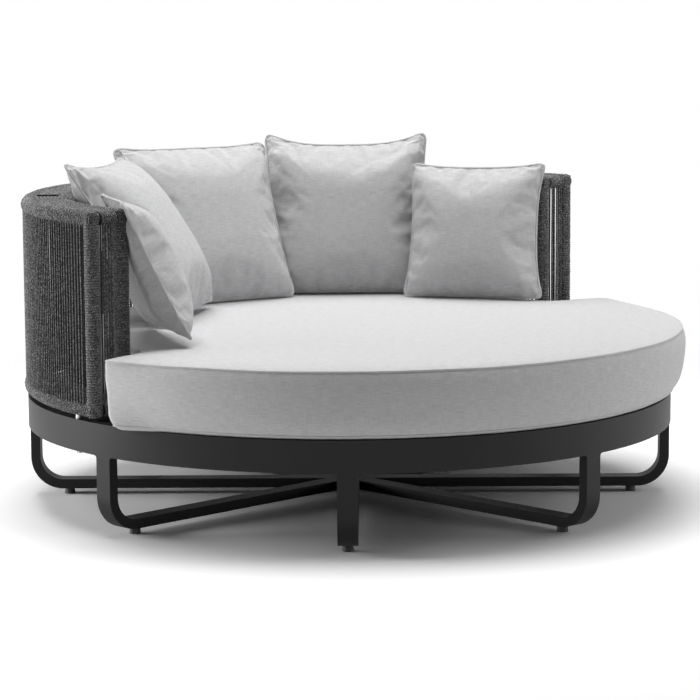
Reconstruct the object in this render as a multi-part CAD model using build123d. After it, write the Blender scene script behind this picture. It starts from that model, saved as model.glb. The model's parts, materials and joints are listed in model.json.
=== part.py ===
from build123d import *
import math
import os

# Round daybed: a welded base of a rolled ring on eight bent legs, a half-round
# rope-wound back wall bolted on it, a round mattress and five loose cushions.
# Millimetres. The origin is on the floor at the ring's axis, +Z is up, and the
# open front faces -Y. Plan angles are in degrees from +X towards +Y.

# One clearance for soft pieces and for pieces that rest on each other
rest_gap = 0.3
cut_overrun = 5.0

# Base ring: a rectangular tube rolled on edge
ring_outer_radius = 850.0
ring_height = 80.0
ring_depth = 25.0
ring_wall = 2.5
ring_floor_clearance = 206.0

# Legs: rectangular tube, down from the ring, round a bend and in to the hub
leg_names = ["right", "back_right", "back", "back_left", "left", "front_left", "front", "front_right"]
leg_star_turn = 2.4
leg_width = 50.0
leg_depth = 25.0
leg_wall = 2.5
leg_bend_radius = 72.5
leg_inset = 0.5
leg_flare = 8.0

# Hub: an eight-sided box that the leg bars are welded to
hub_wall = 4.0
hub_hole_radius = 15.0

# Levelling feet: a plastic pad on a threaded stem in a rivet nut
foot_inset = 100.0
foot_pad_radius = 14.5
foot_pad_top_radius = 12.5
foot_pad_height = 15.8
foot_pad_edge = 1.0
foot_stem_radius = 4.0
foot_stem_length = 20.0
foot_nut_flange_thickness = 1.0
foot_nut_flange_radius = 8.0
foot_nut_body_radius = 5.5
foot_nut_depth = 9.0
foot_running_clearance = 0.08
foot_seat_gap = 0.2

# Deck: beams welded across the ring, and slats screwed down on them
beam_count = 3
beam_spacing_share = 0.5
beam_width = 25.0
beam_height = 50.0
beam_wall = 2.0
slat_width = 70.0
slat_spacing = 115.0
slat_thickness = 18.0
slat_wall = 1.5
slat_end_gap = 2.0
screw_radius = 2.5
screw_head_radius = 4.5
screw_head_depth = 2.2
screw_reach = 4.0

# Back wall: two rings of tube, wound with rope, and rope strands between them
wall_overhang = 8.0
wall_depth = 130.0
wall_top_height = 806.0
wall_ring_gap = 8.5
wall_half_turn = 89.4
rail_tube_radius = 14.0
post_tube_radius = 13.0
tie_tube_radius = 12.0
rail_tube_wall = 2.0
post_reach = 10.0
weld_gap = 0.1
rope_radius = 3.25
winding_thickness = 6.5
winding_pitch = 6.5
winding_groove = 1.3
winding_end_gap = 0.3
winding_bore_gap = 0.2
winding_overhang = 18.0
winding_end_round = 13.0
mid_post_radius = 10.0
mid_post_wall = 1.5
mid_post_turns = [45.0, 90.0, 135.0]
strand_pitch = 12.9
strand_end_gap = 0.3
strand_set_back = 3.0
end_strand_count = 5
end_strand_pitch = 9.0
# Rope laid across between the two top rails, below the wall's top, and the turns of its one gap
lacing_drop = 3.5
lacing_gap_turns = [137.2, 142.8]

# Fixings of the back wall: bolts up through the ring, with a spacer on each
fixing_turns = [5.5, 39.0, 73.0, 107.0, 141.0, 174.5]
bolt_radius = 4.0
bolt_clearance = 0.5
bolt_flange_radius = 9.0
bolt_flange_thickness = 1.5
bolt_head_radius = 7.5
bolt_head_height = 5.3
bolt_reach = 6.0
spacer_radius = 7.0

# Mattress: one round block, necked in where it lies inside the wall
seat_overhang = 33.0
seat_wall_gap = 6.0
seat_height = 180.0
seat_shoulder_radius = 45.0
seat_neck_corner_radius = 60.0
seat_shoulder_drop = 93.5
seat_neck_drop = 34.0
# Heights and draw-ins of the mattress's sections, from its base up
seat_level_shares = [0.0, 0.03, 0.08, 0.20, 0.40, 0.72, 0.84, 0.93, 0.965, 0.99, 1.0]
seat_draw_in = 50.0
seat_draw_shares = [1.0, 0.76, 0.60, 0.40, 0.18, 0.0, 0.07, 0.22, 0.50, 1.30, 3.2]

# Loose cushions: square, with pointed corners and a full crown
large_cushion_side = 470.0
large_cushion_thickness = 155.0
small_cushion_side = 378.0
small_cushion_thickness = 130.0
# Each section's distance from the seam, and how far its outline reaches
cushion_level_shares = [-1.0, -0.93, -0.75, -0.45, -0.15, 0.0, 0.15, 0.45, 0.75, 0.93, 1.0]
cushion_outline_shares = [0.30, 0.53, 0.76, 0.92, 0.985, 1.0, 0.985, 0.92, 0.76, 0.53, 0.30]
cushion_side_dip_share = 0.05
cushion_corner_share = 0.05
# Each cushion's place round the wall, in large cushion widths from the back;
# then its middle's distance from the wall and its rise over the mattress, in its
# own widths; then how far it turns from facing inwards, its lean and its roll
cushion_place_shares = {
    "cushion_left_small": (2.2799, 0.3033, 0.5088, -15.39, 15.91, -3.37, "small"),
    "cushion_left_large": (1.119, 0.3828, 0.4461, -6.45, 32.58, 2.4, "large"),
    "cushion_back_large": (-0.0023, 0.2918, 0.4771, -9.1, 17.77, 0.12, "large"),
    "cushion_right_large": (-1.1257, 0.2234, 0.4905, -0.48, 11.86, 0.22, "large"),
    "cushion_right_small": (-2.1401, 0.3506, 0.4965, 22.59, 11.25, 0.52, "small"),
}

# Sizes that follow from the ones above
ring_inner_radius = ring_outer_radius - ring_depth
foot_circle_radius = ring_outer_radius - foot_inset
beam_spacing = ring_outer_radius * beam_spacing_share
slat_count = 1 + int((2 * ring_inner_radius - slat_width) / slat_spacing)
wall_outer_radius = ring_outer_radius + wall_overhang
wall_inner_radius = wall_outer_radius - wall_depth
seat_bulge_radius = ring_outer_radius + seat_overhang
seat_neck_radius = wall_inner_radius - seat_wall_gap
ring_top = ring_floor_clearance + ring_height
foot_height = foot_pad_height + foot_seat_gap + foot_nut_flange_thickness
bar_middle = foot_height + leg_depth / 2
leg_line_radius = ring_outer_radius - leg_inset - leg_depth / 2
leg_step = 360 / len(leg_names)
hub_inner_radius = leg_width / 2 / math.tan(math.radians(leg_step / 2))
winding_radius = rail_tube_radius + winding_thickness
outer_rail_line = wall_outer_radius - winding_radius
inner_rail_line = wall_inner_radius + winding_radius
top_rail_height = wall_top_height - winding_radius
bottom_rail_height = ring_top + wall_ring_gap + winding_radius
tie_winding_radius = tie_tube_radius + winding_thickness
seat_bottom = ring_top + rest_gap
seat_top = seat_bottom + seat_height
wall_ends = [90 - wall_half_turn, 90 + wall_half_turn]


def turned(shape, angle):
    # A shape or a place, turned about the ring's axis
    return Rot(0, 0, angle) * shape


def revolved(profile, start, sweep):
    # A profile drawn in the XZ plane, carried round the ring's axis
    return turned(revolve(profile, axis=Axis.Z, revolution_arc=sweep), start)


def radial_rectangle(inner, outer, bottom, top):
    return Plane.XZ * Pos((inner + outer) / 2, (bottom + top) / 2) * Rectangle(outer - inner, top - bottom)


def carried_round(profile, start, end):
    whole = revolved(profile, 0, end - start)
    # The turning sense of the sweep is read off the solid itself
    return turned(whole, start if whole.center().Y > 0 else end)


def arc_bar(line_radius, height, radius, start, end):
    return carried_round(Plane.XZ * Pos(line_radius, height) * Circle(radius), start, end)


def upright(radius, angle, bottom, top, thickness):
    # A vertical cylinder that stands at a plan radius and angle
    column = Cylinder(thickness, top - bottom, align=(Align.CENTER, Align.CENTER, Align.MIN))
    return turned(Pos(radius, 0, bottom) * column, angle)


def group(pieces):
    return Compound([piece.solid() for piece in pieces])


def apron_ring():
    section = radial_rectangle(ring_inner_radius, ring_outer_radius, ring_floor_clearance, ring_top)
    hollow = radial_rectangle(ring_inner_radius + ring_wall, ring_outer_radius - ring_wall,
                              ring_floor_clearance + ring_wall, ring_top - ring_wall)
    ring = revolve(section - hollow, axis=Axis.Z)
    for angle in fixing_turns:
        ring -= upright(outer_rail_line, angle, ring_floor_clearance - cut_overrun,
                        ring_top + cut_overrun, bolt_radius + bolt_clearance)
    return ring


def leg_path():
    bend_start = bar_middle + leg_bend_radius
    bar_start = leg_line_radius - leg_bend_radius
    reach = leg_bend_radius * math.sqrt(0.5)
    down = Line((leg_line_radius, 0, ring_floor_clearance), (leg_line_radius, 0, bend_start))
    bend = ThreePointArc((leg_line_radius, 0, bend_start), (bar_start + reach, 0, bend_start - reach),
                         (bar_start, 0, bar_middle))
    inwards = Line((bar_start, 0, bar_middle), (hub_inner_radius, 0, bar_middle))
    return Wire([down, bend, inwards])


def leg_flares():
    # The weld's small hollow fillets on both sides, under the ring
    half = leg_width / 2
    top = ring_floor_clearance
    flares = []
    for side in (-1, 1):
        foot = (side * half, top - leg_flare)
        tip = (side * (half + leg_flare), top)
        corner = (side * half, top)
        middle_share = 1 - math.sqrt(0.5)
        middle = (side * (half + leg_flare * middle_share), top - leg_flare * middle_share)
        outline = make_face([Line(corner, foot), ThreePointArc(foot, middle, tip), Line(tip, corner)])
        standing = Plane.YZ.offset(leg_line_radius - leg_depth / 2) * outline
        flares.append(extrude(standing, leg_depth))
    return flares


def leg(index):
    start = Plane.XY.offset(ring_floor_clearance)
    outer = start * Pos(leg_line_radius, 0) * Rectangle(leg_depth, leg_width)
    inner = start * Pos(leg_line_radius, 0) * Rectangle(leg_depth - 2 * leg_wall, leg_width - 2 * leg_wall)
    path = leg_path()
    tube = sweep(outer, path=path) - sweep(inner, path=path)
    for flare in leg_flares():
        tube += flare
    tube -= upright(foot_circle_radius, 0, 0, bar_middle, foot_nut_body_radius)
    return turned(tube, leg_star_turn + index * leg_step)


def centre_hub():
    outline = RegularPolygon(hub_inner_radius, len(leg_names), major_radius=False)
    cavity = RegularPolygon(hub_inner_radius - hub_wall, len(leg_names), major_radius=False)
    body = Pos(0, 0, foot_height) * extrude(outline, leg_depth)
    body -= Pos(0, 0, foot_height + leg_wall) * extrude(cavity, leg_depth - 2 * leg_wall)
    body -= upright(0, 0, 0, foot_height + leg_depth + cut_overrun, hub_hole_radius)
    # A flat of the outline is turned to face each bar
    flat_turn = min(range(len(leg_names) * 2), key=lambda k: flat_miss(outline, k * leg_step / 2))
    return turned(body, leg_star_turn + flat_turn * leg_step / 2)


def flat_miss(outline, angle):
    # How far the outline, turned by an angle, reaches past a flat at +X
    turned_outline = turned(outline, angle)
    return abs(turned_outline.bounding_box().max.X - hub_inner_radius)


def foot_nuts():
    bottom = foot_height - foot_nut_flange_thickness
    nuts = []
    for index in range(len(leg_names)):
        angle = leg_star_turn + index * leg_step
        nut = upright(foot_circle_radius, angle, bottom, foot_height, foot_nut_flange_radius)
        nut += upright(foot_circle_radius, angle, foot_height, foot_height + foot_nut_depth, foot_nut_body_radius)
        nut -= upright(foot_circle_radius, angle, 0, bar_middle + leg_depth,
                       foot_stem_radius + foot_running_clearance)
        nuts.append(nut)
    return group(nuts)


def foot(index):
    base = Circle(foot_pad_radius - foot_pad_edge)
    edge = Plane.XY.offset(foot_pad_edge) * Circle(foot_pad_radius)
    top = Plane.XY.offset(foot_pad_height) * Circle(foot_pad_top_radius)
    pad = loft([base, edge, top], ruled=True)
    stem = Pos(0, 0, foot_pad_height) * Cylinder(foot_stem_radius, foot_stem_length,
                                                 align=(Align.CENTER, Align.CENTER, Align.MIN))
    return turned(Pos(foot_circle_radius, 0, 0) * (pad + stem), leg_star_turn + index * leg_step)


def box_tube(length, width, height, wall):
    return Box(length, width, height) - Box(length + cut_overrun, width - 2 * wall, height - 2 * wall)


def beam_places():
    return [(index - (beam_count - 1) / 2) * beam_spacing for index in range(beam_count)]


def slat_places():
    return [(index - (slat_count - 1) / 2) * slat_spacing for index in range(slat_count)]


def screw_places():
    # A screw wherever a slat's middle line crosses a beam inside the ring
    limit = ring_inner_radius - slat_width / 2
    return [(x, y) for x in beam_places() for y in slat_places() if math.hypot(x, y) < limit]


def deck_beams():
    inside = Cylinder(ring_inner_radius, 2 * ring_top)
    beams = []
    for x in beam_places():
        tube = turned(box_tube(2 * ring_inner_radius, beam_width, beam_height, beam_wall), 90)
        beam = Pos(x, 0, ring_top - slat_thickness - beam_height / 2) * tube & inside
        for place in screw_places():
            if place[0] == x:
                beam -= Pos(place[0], place[1], ring_top - slat_thickness) * Cylinder(screw_radius, 2 * screw_reach)
        beams.append(beam)
    return group(beams)


def screw_shape():
    low = ring_top - slat_thickness - screw_reach
    shank = Pos(0, 0, low) * Cylinder(screw_radius, ring_top - low, align=(Align.CENTER, Align.CENTER, Align.MIN))
    head = loft([Plane.XY.offset(ring_top - screw_head_depth) * Circle(screw_radius),
                 Plane.XY.offset(ring_top) * Circle(screw_head_radius)], ruled=True)
    return shank + head


def deck_slats():
    inside = Cylinder(ring_inner_radius - slat_end_gap, 2 * ring_top + cut_overrun)
    screw = screw_shape()
    slats = []
    for y in slat_places():
        tube = box_tube(2 * ring_inner_radius, slat_width, slat_thickness, slat_wall)
        slat = Pos(0, y, ring_top - slat_thickness / 2) * tube & inside
        for place in screw_places():
            if place[1] == y:
                slat -= Pos(place[0], place[1], 0) * screw
        slats.append(slat)
    return group(slats)


def slat_screws():
    screw = screw_shape()
    return group([Pos(x, y, 0) * screw for x, y in screw_places()])


def post_columns(gap):
    # The four end posts as plain columns, a gap larger all round
    low = bottom_rail_height - post_reach - gap
    high = top_rail_height + post_reach + gap
    return [upright(line, angle, low, high, post_tube_radius + gap)
            for line in (outer_rail_line, inner_rail_line) for angle in wall_ends]


def mid_post_columns(line, thickness):
    return [upright(line, angle, bottom_rail_height, top_rail_height, thickness) for angle in mid_post_turns]


def spacer_columns(high, gap):
    return [upright(outer_rail_line, angle, ring_top, high, spacer_radius + gap) for angle in fixing_turns]


def bolt_columns():
    low = ring_floor_clearance
    high = bottom_rail_height - rail_tube_radius + bolt_reach
    return [upright(outer_rail_line, angle, low, high, bolt_radius) for angle in fixing_turns]


def rail(line, height):
    tube = arc_bar(line, height, rail_tube_radius, wall_ends[0], wall_ends[1])
    tube -= arc_bar(line, height, rail_tube_radius - rail_tube_wall, wall_ends[0], wall_ends[1])
    for column in post_columns(weld_gap):
        tube -= column
    if line == outer_rail_line and height == bottom_rail_height:
        for column in bolt_columns():
            tube -= column
    return max(tube.solids(), key=lambda solid: solid.volume)


def end_post(line, angle):
    low = bottom_rail_height - post_reach
    high = top_rail_height + post_reach
    post = upright(line, angle, low, high, post_tube_radius)
    post -= upright(line, angle, low - cut_overrun, high - rail_tube_wall, post_tube_radius - rail_tube_wall)
    return post


def lying_bar(inner, outer, height, angle, radius):
    bar = Pos((inner + outer) / 2, 0, height) * Rot(0, 90, 0) * Cylinder(radius, outer - inner)
    return turned(bar, angle)


def end_ties():
    ties = []
    for angle in wall_ends:
        for height in (bottom_rail_height, top_rail_height):
            tie = lying_bar(inner_rail_line, outer_rail_line, height, angle, tie_tube_radius)
            tie -= lying_bar(inner_rail_line, outer_rail_line, height, angle, tie_tube_radius - rail_tube_wall)
            for column in post_columns(weld_gap):
                tie -= column
            for line in (inner_rail_line, outer_rail_line):
                tie -= arc_bar(line, height, rail_tube_radius + weld_gap, wall_ends[0], wall_ends[1])
            ties.append(max(tie.solids(), key=lambda solid: solid.volume))
    return group(ties)


def mid_posts():
    posts = []
    for line in (outer_rail_line, inner_rail_line):
        bars = [arc_bar(line, height, rail_tube_radius + weld_gap, wall_ends[0], wall_ends[1])
                for height in (bottom_rail_height, top_rail_height)]
        hollows = mid_post_columns(line, mid_post_radius - mid_post_wall)
        for column, hollow in zip(mid_post_columns(line, mid_post_radius), hollows):
            post = column - hollow
            for bar in bars:
                post -= bar
            posts.append(max(post.solids(), key=lambda solid: solid.volume))
    return group(posts)


def rail_winding(line, height):
    # The rope wound round a rail, carried past each end post and rounded over it
    past = math.degrees(winding_overhang / line)
    winding = arc_bar(line, height, winding_radius, wall_ends[0] - past, wall_ends[1] + past)
    rims = winding.edges().filter_by(GeomType.CIRCLE).sort_by(SortBy.LENGTH)[:2]
    winding = fillet(rims, winding_end_round)
    tools = [arc_bar(line, height, rail_tube_radius, wall_ends[0], wall_ends[1])]
    tools += post_columns(winding_bore_gap)
    tools += mid_post_columns(line, mid_post_radius + winding_bore_gap)
    tools += [lying_bar(inner_rail_line, outer_rail_line, height, angle, tie_tube_radius + winding_bore_gap)
              for angle in wall_ends]
    if line == outer_rail_line and height == bottom_rail_height:
        tools += spacer_columns(height, winding_bore_gap)
    return max((winding - tools).solids(), key=lambda solid: solid.volume)


def ribbed_sleeve(bore, length):
    # One rib for each turn of rope, from z = 0 up
    turns = max(1, round(length / winding_pitch))
    pitch = length / turns
    crest = bore + winding_thickness
    valley = crest - winding_groove
    crest_share = 0.25
    valley_share = 0.06
    outline = [(bore, 0)]
    for turn in range(turns):
        base = turn * pitch
        outline.append((valley, base + pitch * valley_share))
        outline.append((crest, base + pitch * crest_share))
        outline.append((crest, base + pitch * (1 - crest_share)))
        outline.append((valley, base + pitch * (1 - valley_share)))
    outline.append((bore, length))
    profile = make_face(Polyline(outline + [outline[0]]))
    return revolve(Plane.XZ * profile, axis=Axis.Z)


def post_winding(line, angle):
    low = bottom_rail_height + winding_radius + winding_end_gap
    high = top_rail_height - winding_radius - winding_end_gap
    return turned(Pos(line, 0, low) * ribbed_sleeve(post_tube_radius, high - low), angle)


def tie_windings():
    low = inner_rail_line + winding_radius + winding_end_gap
    high = outer_rail_line - winding_radius - winding_end_gap
    sleeve = Rot(0, 90, 0) * ribbed_sleeve(tie_tube_radius, high - low)
    return group([turned(Pos(low, 0, height) * sleeve, angle)
                  for angle in wall_ends for height in (bottom_rail_height, top_rail_height)])


def top_lacing():
    # The laced rope as one flat band from winding to winding, clear of the end ties
    top = wall_top_height - lacing_drop
    bottom = top - 2 * rope_radius
    rise = bottom - top_rail_height
    rail_reach = math.sqrt(winding_radius ** 2 - rise ** 2) + rest_gap
    inner = inner_rail_line + rail_reach
    outer = outer_rail_line - rail_reach
    tie_reach = math.sqrt(tie_winding_radius ** 2 - rise ** 2) + rest_gap
    tie_turn = math.degrees(math.asin(tie_reach / inner))
    section = radial_rectangle(inner, outer, bottom, top)
    return group([carried_round(section, wall_ends[0] + tie_turn, lacing_gap_turns[0]),
                  carried_round(section, lacing_gap_turns[1], wall_ends[1] - tie_turn)])


def strand_offset(wound_radius):
    # How far a strand's middle stands out from the middle of the bar that it hangs on
    return wound_radius - strand_set_back - rope_radius


def strand(wound_radius):
    # One straight run of rope between an upper and a lower wound bar
    cover = math.sqrt(wound_radius ** 2 - (strand_offset(wound_radius) - rope_radius) ** 2)
    low = bottom_rail_height + cover + strand_end_gap
    high = top_rail_height - cover - strand_end_gap
    return Pos(0, 0, low) * Cylinder(rope_radius, high - low, align=(Align.CENTER, Align.CENTER, Align.MIN))


def strand_ring(strand_line, rail_line):
    # Strands at an even pitch from one end post's winding to the other's
    margin = math.degrees((post_tube_radius + winding_thickness + strand_pitch / 2) / rail_line)
    first = wall_ends[0] + margin
    last = wall_ends[1] - margin
    steps = round(math.radians(last - first) * strand_line / strand_pitch)
    rope = Pos(strand_line, 0, 0) * strand(winding_radius)
    return group([turned(rope, first + (last - first) * step / steps) for step in range(steps + 1)])


def end_strands(angle, side):
    middle = (inner_rail_line + outer_rail_line) / 2
    places = [middle + (index - (end_strand_count - 1) / 2) * end_strand_pitch
              for index in range(end_strand_count)]
    rope = strand(tie_winding_radius)
    offset = side * strand_offset(tie_winding_radius)
    return group([turned(Pos(place, offset, 0) * rope, angle) for place in places])


def back_spacers():
    spacers = spacer_columns(bottom_rail_height - rail_tube_radius, 0)
    return group([spacer - hole for spacer, hole in zip(spacers, bolt_columns())])


def back_bolts():
    bolts = []
    for angle, shank in zip(fixing_turns, bolt_columns()):
        under = ring_floor_clearance - bolt_flange_thickness
        flange = upright(outer_rail_line, angle, under, ring_floor_clearance, bolt_flange_radius)
        hexagon = extrude(RegularPolygon(bolt_head_radius, 6), bolt_head_height)
        head = turned(Pos(outer_rail_line, 0, under - bolt_head_height) * hexagon, angle)
        bolts.append(shank + flange + head)
    return group(bolts)


def on_circle(radius, drop):
    # The point of a circle about the axis that lies a given way in front of the X axis
    return (math.sqrt(radius ** 2 - drop ** 2), -drop)


def crossing(start, direction, radius):
    # Where a line that starts inside a circle about the axis leaves it
    along = start[0] * direction[0] + start[1] * direction[1]
    inside = radius ** 2 - start[0] ** 2 - start[1] ** 2
    reach = -along + math.sqrt(along ** 2 + inside)
    return (start[0] + reach * direction[0], start[1] + reach * direction[1])


def seat_outline(draw):
    neck = on_circle(seat_neck_radius, seat_neck_drop)
    shoulder = on_circle(seat_bulge_radius, seat_shoulder_drop)
    run = math.hypot(shoulder[0] - neck[0], shoulder[1] - neck[1])
    along = ((shoulder[0] - neck[0]) / run, (shoulder[1] - neck[1]) / run)
    inwards = (along[1], -along[0])
    # The shoulder's line, moved into the mattress by the draw-in, from a point on the Y axis
    back_steps = (neck[0] + draw * inwards[0]) / along[0]
    base = (0, neck[1] + draw * inwards[1] - back_steps * along[1])
    right_neck = crossing(base, along, seat_neck_radius - draw)
    right_shoulder = crossing(base, along, seat_bulge_radius - draw)
    left_neck = (-right_neck[0], right_neck[1])
    left_shoulder = (-right_shoulder[0], right_shoulder[1])
    neck_line = seat_neck_radius - draw
    front_line = seat_bulge_radius - draw
    neck_turn = math.atan2(right_neck[1], right_neck[0])
    front_turn = math.atan2(right_shoulder[1], right_shoulder[0])
    back = (0, neck_line)
    front = (0, -front_line)
    neck_middle_turn = (neck_turn + math.pi / 2) / 2
    front_middle_turn = (front_turn - math.pi / 2) / 2
    neck_middle = (neck_line * math.cos(neck_middle_turn), neck_line * math.sin(neck_middle_turn))
    front_middle = (front_line * math.cos(front_middle_turn), front_line * math.sin(front_middle_turn))
    edges = [
        ThreePointArc(right_neck, neck_middle, back),
        ThreePointArc(back, (-neck_middle[0], neck_middle[1]), left_neck),
        Line(left_neck, left_shoulder),
        ThreePointArc(left_shoulder, (-front_middle[0], front_middle[1]), front),
        ThreePointArc(front, front_middle, right_shoulder),
        Line(right_shoulder, right_neck),
    ]
    outline = make_face(edges)
    shoulders = [corner for corner in outline.vertices()
                 if math.hypot(corner.X, corner.Y) > (neck_line + front_line) / 2 and abs(corner.X) > seat_draw_in]
    outline = fillet(shoulders, seat_shoulder_radius)
    necks = [corner for corner in outline.vertices()
             if min(abs(corner.X - right_neck[0]), abs(corner.X - left_neck[0])) < rest_gap
             and abs(corner.Y - right_neck[1]) < rest_gap]
    return fillet(necks, seat_neck_corner_radius)


def mattress():
    sections = []
    for level_share, draw_share in zip(seat_level_shares, seat_draw_shares):
        outline = seat_outline(seat_draw_in * draw_share)
        sections.append(Pos(0, 0, seat_bottom + seat_height * level_share) * outline)
    return loft(sections, ruled=True)


def cushion_outline(side, reach):
    # A square with sides that dip in and small round tips at its corners
    half = side / 2 * reach
    dip = half * (1 - cushion_side_dip_share)
    tip = half * cushion_corner_share
    bow = math.sqrt(0.5)
    edges = []
    for turn in range(4):
        angle = math.radians(turn * 90)

        def place(x, y):
            return (x * math.cos(angle) - y * math.sin(angle), x * math.sin(angle) + y * math.cos(angle))

        start = place(half, -(half - tip))
        middle = place(dip, 0)
        end = place(half, half - tip)
        corner = place(half - tip + tip * bow, half - tip + tip * bow)
        after = place(half - tip, half)
        edges.append(ThreePointArc(start, middle, end))
        edges.append(ThreePointArc(end, corner, after))
    return make_face(edges)


def cushion(place_shares):
    round_share, wall_share, rise_share, turn, lean, roll, size = place_shares
    side = large_cushion_side if size == "large" else small_cushion_side
    thickness = large_cushion_thickness if size == "large" else small_cushion_thickness
    sections = []
    for level_share, reach in zip(cushion_level_shares, cushion_outline_shares):
        sections.append(Pos(0, 0, thickness / 2 * level_share) * cushion_outline(side, reach))
    # Stand the body up with its front to +X, roll it, then lean it back and turn it
    body = Rot(roll, 0, 0) * Rot(0, 90, 0) * loft(sections, ruled=True)
    angle = 90 + round_share * math.degrees(large_cushion_side / wall_inner_radius)
    radius = wall_inner_radius - wall_share * side
    middle = turned(Pos(radius, 0, seat_top + rise_share * side), angle)
    return middle * Rot(0, 0, 180 + turn) * Rot(0, -lean, 0) * body


def write(name, shape):
    export_step(shape, os.path.join("parts", name + ".step"))


def main():
    os.makedirs("parts", exist_ok=True)
    write("apron_ring", apron_ring())
    for index, name in enumerate(leg_names):
        write("leg_" + name, leg(index))
        write("foot_" + name, foot(index))
    write("centre_hub", centre_hub())
    write("foot_nuts", foot_nuts())
    write("deck_beams", deck_beams())
    write("deck_slats", deck_slats())
    write("slat_screws", slat_screws())
    for side, line in (("outer", outer_rail_line), ("inner", inner_rail_line)):
        for level, height in (("bottom", bottom_rail_height), ("top", top_rail_height)):
            write(level + "_rail_" + side, rail(line, height))
            write(level + "_winding_" + side, rail_winding(line, height))
        for end, angle in zip(("right", "left"), wall_ends):
            write(end + "_post_" + side, end_post(line, angle))
            write(end + "_post_winding_" + side, post_winding(line, angle))
    write("end_ties", end_ties())
    write("tie_windings", tie_windings())
    write("mid_posts", mid_posts())
    write("top_lacing", top_lacing())
    write("outer_strands", strand_ring(outer_rail_line + strand_offset(winding_radius), outer_rail_line))
    write("inner_strands", strand_ring(inner_rail_line - strand_offset(winding_radius), inner_rail_line))
    write("right_end_strands", end_strands(wall_ends[0], -1))
    write("left_end_strands", end_strands(wall_ends[1], 1))
    write("back_spacers", back_spacers())
    write("back_bolts", back_bolts())
    write("mattress", mattress())
    for name, place_shares in cushion_place_shares.items():
        write(name, cushion(place_shares))


main()
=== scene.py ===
import json
import math

import bpy
import numpy as np
from mathutils import Matrix, Vector, noise

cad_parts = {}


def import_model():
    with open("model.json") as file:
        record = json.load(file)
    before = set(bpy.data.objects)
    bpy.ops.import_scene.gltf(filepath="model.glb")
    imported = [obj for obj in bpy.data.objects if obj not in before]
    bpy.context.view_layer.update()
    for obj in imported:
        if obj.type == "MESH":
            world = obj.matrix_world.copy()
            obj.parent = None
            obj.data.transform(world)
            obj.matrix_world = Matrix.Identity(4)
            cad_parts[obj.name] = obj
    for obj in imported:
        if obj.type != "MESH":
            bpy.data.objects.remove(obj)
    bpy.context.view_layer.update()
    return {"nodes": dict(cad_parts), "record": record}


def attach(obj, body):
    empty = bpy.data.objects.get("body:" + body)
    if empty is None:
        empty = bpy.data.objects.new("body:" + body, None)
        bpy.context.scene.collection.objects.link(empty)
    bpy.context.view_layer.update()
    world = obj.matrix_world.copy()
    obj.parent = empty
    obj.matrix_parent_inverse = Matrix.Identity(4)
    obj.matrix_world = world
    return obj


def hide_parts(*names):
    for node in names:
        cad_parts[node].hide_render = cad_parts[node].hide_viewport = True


# A round daybed: the rope, the mattress and the cushions in detail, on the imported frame.
# Metres, in the frame's own axes: the open front faces -Y and +Z is up.

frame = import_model()

# Camera, fitted to the photograph
camera_place = (-4.74408, -5.23499, 1.36708)
camera_target = (0.00149, -0.00135, 0.38272)
camera_lens = 137.98
camera_sensor = 36.0
camera_roll_degrees = -0.3565
camera_far = 100

# Floor, and the light: power, width, height and place of each lamp
floor_reach = 30.0
floor_level = 0.80
floor_seen_level = 1.15
floor_fade_start = 1.3
floor_fade_end = 3.2
world_strength = 0.16
lamp_target = (0, 0, 0.35)
lamps = {
    "top": (160, 3.2, 3.2, (0.2, 0.3, 3.6)),
    "left": (72, 1.6, 1.4, (-2.5054, 1.9990, 0.8)),
    "right": (26, 1.6, 2.0, (2.2370, -2.2954, 1.2)),
}

# Looks. A surface is its roughness and specular level, a sheen its weight and roughness, and
# a relief its depth and strength. A noise is its scale, detail and roughness. A shade is where
# it starts and ends over the pattern under it, the grey level at each, and a tint at each.
paint_surface = (0.48, 0.19)
paint_cloud_noise = (5.0, 3.0)
paint_grain_noise = (1400.0, 2.0)
paint_cloud_shade = (0.3, 0.7, 0.013, 0.017, 0.05, 0.05)
paint_grain_shade = (0.35, 0.75, 0.88, 1.12)
paint_relief = (0.0003, 0.35)
rope_surface = (0.82, 0.25)
rope_sheen = (0.25, 0.5)
rope_braid_threads = 6
rope_braid_length = 0.0095
rope_yarn_noise = (270.0, 3.0, 0.75)
rope_patch_noise = (60.0, 2.0)
rope_yarn_shade = (0.44, 0.62, 0.020, 0.330, 0.03, 0.02)
# Painted shade in the braid's valleys, between its threads
rope_braid_valley_painted_shade = (-0.2, 0.75, 0.32, 1.0)
rope_patch_shade = (0.3, 0.7, 0.85, 1.12)
# Painted shade in the grooves of each turn and strand, and a painted highlight on its outer crest
rope_groove_painted_shade_crest_highlight = (0.05, 0.85, 0.28, 1.30)
rope_yarn_relief = (0.0006, 0.5)
rope_braid_relief = (0.0007, 0.8)
fabric_surface = (0.88, 0.2)
fabric_sheen = (0.15, 0.6)
fabric_tint = 0.012
fabric_thread_scales = (1000.0, 34.0)
fabric_thread_noise = (1.0, 2.0, 0.6)
fabric_cloud_noise = (55.0, 3.0, 0.6)
fabric_weave_length = 0.0012
fabric_warp_shade = (0.32, 0.68, 0.91, 1.06)
fabric_weft_shade = (0.32, 0.68, 0.82, 1.12)
fabric_cloud_shade = (0.3, 0.7, 0.965, 1.03)
fabric_thread_relief = (0.0004, 0.5)
fabric_weave_relief = (0.0003, 0.45)
seat_fabric_level = 0.60
cushion_fabric_level = 0.53
steel_surface = (0.38, 0.5)
steel_noise = (900.0, 3.0)
steel_shade = (0.3, 0.7, 0.48, 0.62)
steel_relief = (0.0002, 0.2)
foot_surface = (0.5, 0.45)
foot_noise = (1100.0, 2.0)
foot_shade = (0.3, 0.7, 0.010, 0.018)
foot_relief = (0.0003, 0.4)

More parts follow.
